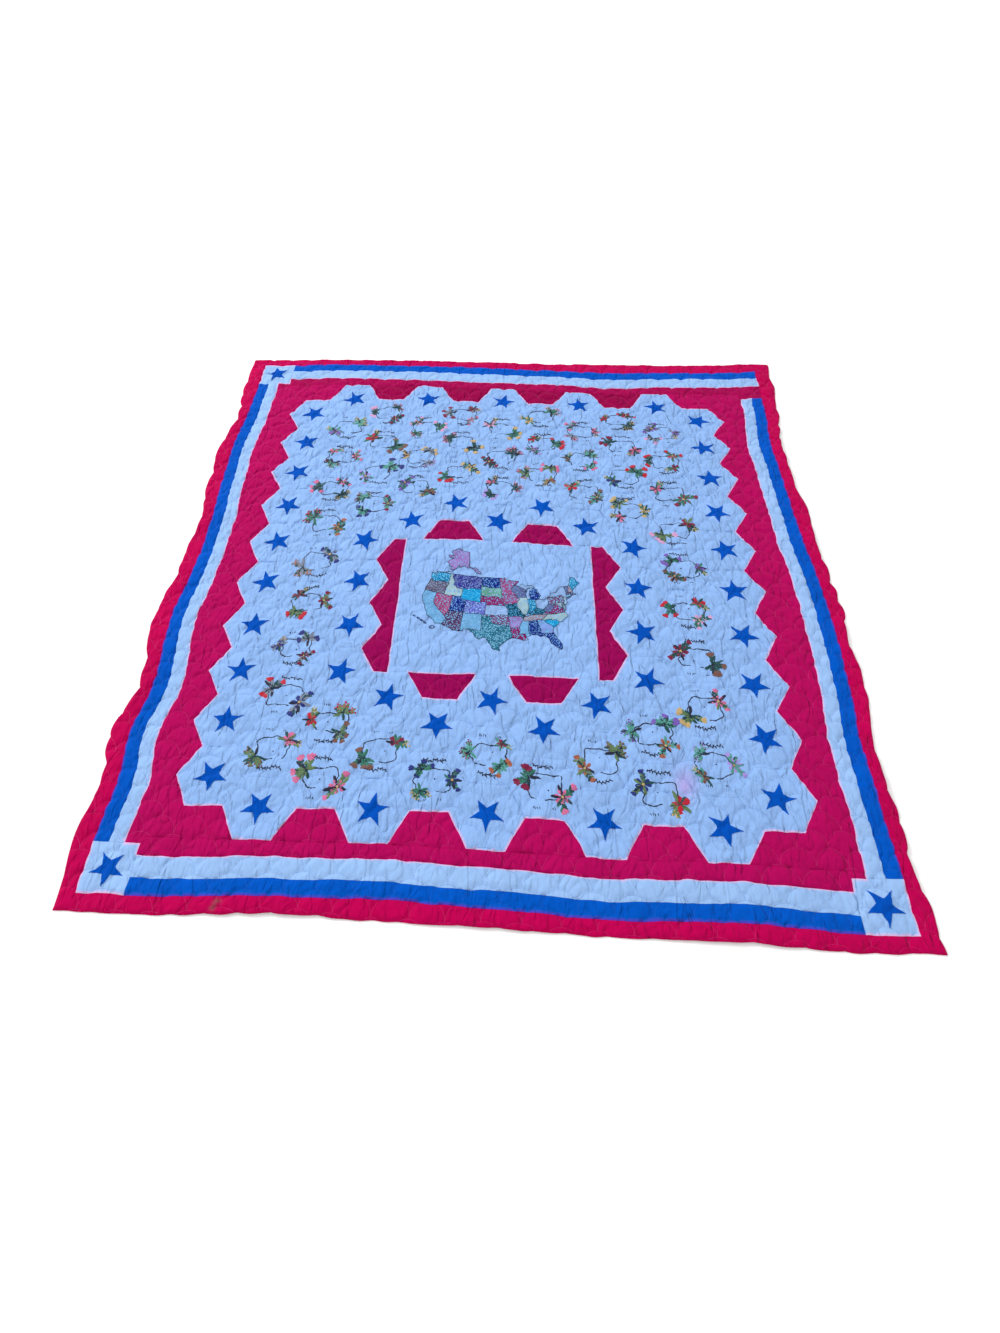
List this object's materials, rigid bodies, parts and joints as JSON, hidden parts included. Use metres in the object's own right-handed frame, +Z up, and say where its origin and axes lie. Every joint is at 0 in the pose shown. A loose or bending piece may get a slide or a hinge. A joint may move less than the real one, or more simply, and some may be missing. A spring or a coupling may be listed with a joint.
{
  "type": "map quilt",
  "caption": "Flat pieced and quilted bed cover: hexagon rows round a centre panel, with strips, corner squares and an outer border.",
  "frame": {"origin": "middle of the quilt's underside, on the surface that it lies on", "axes": "+Z up, +Y from the near edge to the far edge as pictured, +X to the right"},
  "size_m": [2.203, 2.3334, 0.0198],
  "materials": {
    "white_cloth": "plain woven cotton, quilted",
    "red_cloth": "plain woven cotton, quilted",
    "blue_cloth": "plain woven cotton, quilted",
    "calico_cloth": "small printed cotton patches",
    "embroidery_thread": "stranded cotton stitches in several colours"
  },
  "bodies": {
    "root": {"blue_strip_far": "blue_cloth", "blue_strip_left": "blue_cloth", "blue_strip_near": "blue_cloth", "blue_strip_right": "blue_cloth", "border_far": "red_cloth", "border_left": "red_cloth", "border_near": "red_cloth", "border_right": "red_cloth", "centre_panel": "white_cloth", "centre_red_far_1": "red_cloth", "centre_red_far_2": "red_cloth", "centre_red_left": "red_cloth", "centre_red_near_1": "red_cloth", "centre_red_near_2": "red_cloth", "centre_red_right": "red_cloth", "corner_square_far_left": "white_cloth", "corner_square_near_left": "white_cloth", "corner_square_near_right": "white_cloth", "ground_far": "red_cloth", "ground_left": "red_cloth", "ground_near": "red_cloth", "ground_right": "red_cloth", "ground_tooth_far_1": "red_cloth", "ground_tooth_far_2": "red_cloth", "ground_tooth_far_3": "red_cloth", "ground_tooth_far_4": "red_cloth", "ground_tooth_near_1": "red_cloth", "ground_tooth_near_2": "red_cloth", "ground_tooth_near_3": "red_cloth", "ground_tooth_near_4": "red_cloth", "hexagon_row_01": "white_cloth", "hexagon_row_02": "white_cloth", "hexagon_row_03": "white_cloth", "hexagon_row_04_far": "white_cloth", "hexagon_row_04_near": "white_cloth", "hexagon_row_05_far": "white_cloth", "hexagon_row_05_near": "white_cloth", "hexagon_row_06_far": "white_cloth", "hexagon_row_06_near": "white_cloth", "hexagon_row_07_far": "white_cloth", "hexagon_row_07_near": "white_cloth", "hexagon_row_08_far": "white_cloth", "hexagon_row_08_near": "white_cloth", "hexagon_row_09": "white_cloth", "hexagon_row_10": "white_cloth", "hexagon_row_11": "white_cloth", "white_strip_far": "white_cloth", "white_strip_left": "white_cloth", "white_strip_near": "white_cloth", "white_strip_right": "white_cloth"}
  },
  "joints": []
}
